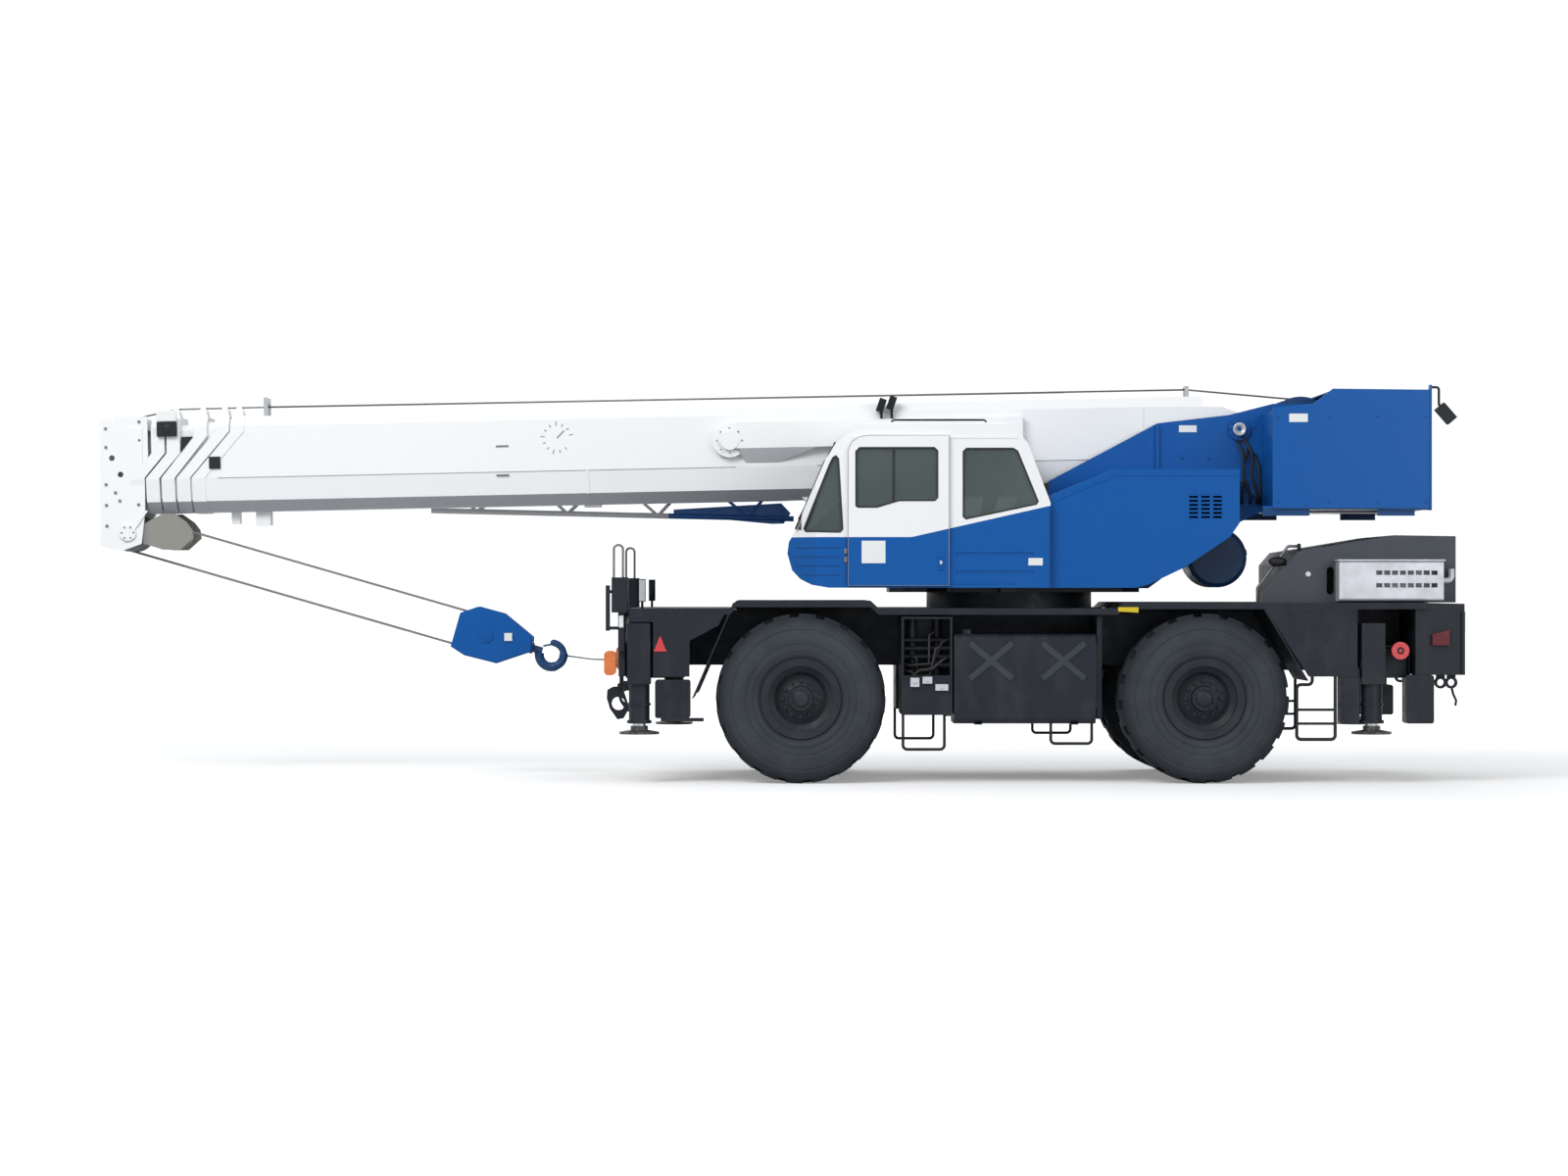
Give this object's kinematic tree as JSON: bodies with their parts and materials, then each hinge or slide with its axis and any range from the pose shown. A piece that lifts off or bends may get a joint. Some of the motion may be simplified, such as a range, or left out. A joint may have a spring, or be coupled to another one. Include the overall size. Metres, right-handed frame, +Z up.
{
  "type": "rough terrain crane",
  "caption": "Wheeled rough terrain crane with telescopic boom, slewing cab, hook block and sliding outriggers, parked with its boom lowered over the front.",
  "frame": {"origin": "on the ground, in the middle of the overall length and width", "axes": "+X towards the rear of the crane, +Y to its right side, +Z up; the boom lies towards -X and the cab is on the -Y side"},
  "size_m": [12.98, 2.9758, 3.7922],
  "materials": {
    "black_steel": "black painted steel",
    "blue_paint": "gloss blue enamel",
    "bright_steel": "bright sheet steel",
    "cab_glass": "tinted safety glass",
    "cast_steel": "cast steel",
    "cylinder_chrome": "hard chromed rod",
    "dark_paint": "satin near-black carrier paint",
    "grey_paint": "satin dark grey paint",
    "lamp_amber": "moulded amber and red lenses",
    "rim_paint": "satin grey wheel paint",
    "seat_cloth": "dark seat cloth and vinyl",
    "tyre_rubber": "weathered tyre rubber",
    "white_paint": "gloss white enamel, lightly dusty",
    "wire_rope": "greased steel wire rope"
  },
  "bodies": {
    "carrier": {"axles": "black_steel", "carrier_frame": "dark_paint", "engine_block": "cast_steel", "engine_hood": "grey_paint", "equipment_boxes": "dark_paint", "fenders": "dark_paint", "front_body": "dark_paint", "guard_rails": "bright_steel", "lamps": "lamp_amber", "muffler_cover": "bright_steel", "outrigger_boxes": "dark_paint", "rear_body": "dark_paint", "side_tanks": "dark_paint", "slew_ring": "cast_steel", "steps": "black_steel", "suspension": "black_steel"},
    "superstructure": {"cab_glass": "cab_glass", "cab_interior": "seat_cloth", "cab_shell": "white_paint", "counterweight": "white_paint", "side_boxes": "blue_paint", "superstructure_fittings": "black_steel", "tail_drum": "white_paint", "turntable": "white_paint", "winches": "black_steel"},
    "cab_door": {"cab_door": "white_paint", "door_glass": "cab_glass"},
    "boom": {"boom_base": "white_paint", "boom_fittings": "black_steel", "stowed_jib": "dark_paint"},
    "lift_barrel": {"lift_barrel": "white_paint"},
    "lift_rod": {"lift_rod": "cylinder_chrome"},
    "hook": {"hook": "cast_steel"},
    "boom_section_2": {"boom_section_2": "white_paint"},
    "boom_section_3": {"boom_section_3": "white_paint"},
    "boom_section_4": {"boom_section_4": "white_paint"},
    "boom_section_5": {"boom_section_5": "white_paint", "head_sheaves": "cast_steel", "hoist_falls": "wire_rope", "hook_block": "blue_paint"},
    "knuckle_front_left": {"knuckle_front_left": "cast_steel"},
    "wheel_front_left": {"rim_front_left": "rim_paint", "tyre_front_left": "tyre_rubber"},
    "beam_front_left": {"outrigger_beam_front_left": "dark_paint"},
    "jack_front_left": {"outrigger_jack_front_left": "cylinder_chrome"},
    "knuckle_front_right": {"knuckle_front_right": "cast_steel"},
    "wheel_front_right": {"rim_front_right": "rim_paint", "tyre_front_right": "tyre_rubber"},
    "beam_front_right": {"outrigger_beam_front_right": "dark_paint"},
    "jack_front_right": {"outrigger_jack_front_right": "cylinder_chrome"},
    "knuckle_rear_left": {"knuckle_rear_left": "cast_steel"},
    "wheel_rear_left": {"rim_rear_left": "rim_paint", "tyre_rear_left": "tyre_rubber"},
    "beam_rear_left": {"outrigger_beam_rear_left": "dark_paint"},
    "jack_rear_left": {"outrigger_jack_rear_left": "cylinder_chrome"},
    "knuckle_rear_right": {"knuckle_rear_right": "cast_steel"},
    "wheel_rear_right": {"rim_rear_right": "rim_paint", "tyre_rear_right": "tyre_rubber"},
    "beam_rear_right": {"outrigger_beam_rear_right": "dark_paint"},
    "jack_rear_right": {"outrigger_jack_rear_right": "cylinder_chrome"}
  },
  "joints": [
    {"name": "steer_front_left", "type": "hinge", "parent": "carrier", "child": "knuckle_front_left", "pos_m": [0.27, -0.93, 0.795], "axis": [0, 0, 1], "range_deg": [-25, 25]},
    {"name": "spin_front_left", "type": "hinge", "parent": "knuckle_front_left", "child": "wheel_front_left", "pos_m": [0.27, -1.19, 0.795], "axis": [0, 1, 0], "continuous": true},
    {"name": "steer_front_right", "type": "hinge", "parent": "carrier", "child": "knuckle_front_right", "pos_m": [0.27, 0.93, 0.795], "axis": [0, 0, 1], "range_deg": [-25, 25]},
    {"name": "spin_front_right", "type": "hinge", "parent": "knuckle_front_right", "child": "wheel_front_right", "pos_m": [0.27, 1.19, 0.795], "axis": [0, 1, 0], "continuous": true},
    {"name": "steer_rear_left", "type": "hinge", "parent": "carrier", "child": "knuckle_rear_left", "pos_m": [4.045, -0.93, 0.795], "axis": [0, 0, 1], "range_deg": [-25, 25]},
    {"name": "spin_rear_left", "type": "hinge", "parent": "knuckle_rear_left", "child": "wheel_rear_left", "pos_m": [4.045, -1.19, 0.795], "axis": [0, 1, 0], "continuous": true},
    {"name": "steer_rear_right", "type": "hinge", "parent": "carrier", "child": "knuckle_rear_right", "pos_m": [4.045, 0.93, 0.795], "axis": [0, 0, 1], "range_deg": [-25, 25]},
    {"name": "spin_rear_right", "type": "hinge", "parent": "knuckle_rear_right", "child": "wheel_rear_right", "pos_m": [4.045, 1.19, 0.795], "axis": [0, 1, 0], "continuous": true},
    {"name": "slew", "type": "hinge", "parent": "carrier", "child": "superstructure", "pos_m": [2.3, 0, 1.79], "axis": [0, 0, 1], "continuous": true},
    {"name": "boom_lift", "type": "hinge", "parent": "superstructure", "child": "boom", "pos_m": [4.493, 0, 3.356], "axis": [0, 1, 0], "range_deg": [0, 82]},
    {"name": "telescope_2", "type": "slide", "parent": "boom", "child": "boom_section_2", "axis": [-0.9998, 0, -0.0209], "range_m": [0, 7.8]},
    {"name": "telescope_3", "type": "slide", "parent": "boom_section_2", "child": "boom_section_3", "axis": [-0.9998, 0, -0.0209], "range_m": [0, 7.8]},
    {"name": "telescope_4", "type": "slide", "parent": "boom_section_3", "child": "boom_section_4", "axis": [-0.9998, 0, -0.0209], "range_m": [0, 7.8]},
    {"name": "telescope_5", "type": "slide", "parent": "boom_section_4", "child": "boom_section_5", "axis": [-0.9998, 0, -0.0209], "range_m": [0, 7.8]},
    {"name": "lift_barrel_tilt", "type": "hinge", "parent": "superstructure", "child": "lift_barrel", "pos_m": [3.55, 0, 2.02], "axis": [0, 1, 0], "range_deg": [0, 75.33]},
    {"name": "lift_rod_slide", "type": "slide", "parent": "lift_barrel", "child": "lift_rod", "axis": [-0.9856, 0, 0.169], "range_m": [0, 2.101]},
    {"name": "cab_door_slide", "type": "slide", "parent": "superstructure", "child": "cab_door", "axis": [1, 0, 0], "range_m": [0, 0.64]},
    {"name": "hook_swivel", "type": "hinge", "parent": "boom_section_5", "child": "hook", "pos_m": [-2.776, 0, 1.372], "axis": [0.9609, 0, -0.277], "continuous": true},
    {"name": "beam_front_left_slide", "type": "slide", "parent": "carrier", "child": "beam_front_left", "axis": [0, -1, 0], "range_m": [0, 1.9]},
    {"name": "jack_front_left_slide", "type": "slide", "parent": "beam_front_left", "child": "jack_front_left", "axis": [0, 0, -1], "range_m": [0, 0.55]},
    {"name": "beam_front_right_slide", "type": "slide", "parent": "carrier", "child": "beam_front_right", "axis": [0, 1, 0], "range_m": [0, 1.9]},
    {"name": "jack_front_right_slide", "type": "slide", "parent": "beam_front_right", "child": "jack_front_right", "axis": [0, 0, -1], "range_m": [0, 0.55]},
    {"name": "beam_rear_left_slide", "type": "slide", "parent": "carrier", "child": "beam_rear_left", "axis": [0, -1, 0], "range_m": [0, 1.9]},
    {"name": "jack_rear_left_slide", "type": "slide", "parent": "beam_rear_left", "child": "jack_rear_left", "axis": [0, 0, -1], "range_m": [0, 0.55]},
    {"name": "beam_rear_right_slide", "type": "slide", "parent": "carrier", "child": "beam_rear_right", "axis": [0, 1, 0], "range_m": [0, 1.9]},
    {"name": "jack_rear_right_slide", "type": "slide", "parent": "beam_rear_right", "child": "jack_rear_right", "axis": [0, 0, -1], "range_m": [0, 0.55]}
  ],
  "couplings": [
    {"joint": "steer_front_right", "follows": "steer_front_left", "ratio": 1},
    {"joint": "steer_rear_right", "follows": "steer_rear_left", "ratio": 1},
    {"joint": "telescope_3", "follows": "telescope_2", "ratio": 1},
    {"joint": "telescope_4", "follows": "telescope_2", "ratio": 1},
    {"joint": "telescope_5", "follows": "telescope_2", "ratio": 1},
    {"joint": "lift_barrel_tilt", "follows": "boom_lift", "ratio": 0.91868},
    {"joint": "lift_rod_slide", "follows": "boom_lift", "m_per_rad": 1.468}
  ]
}
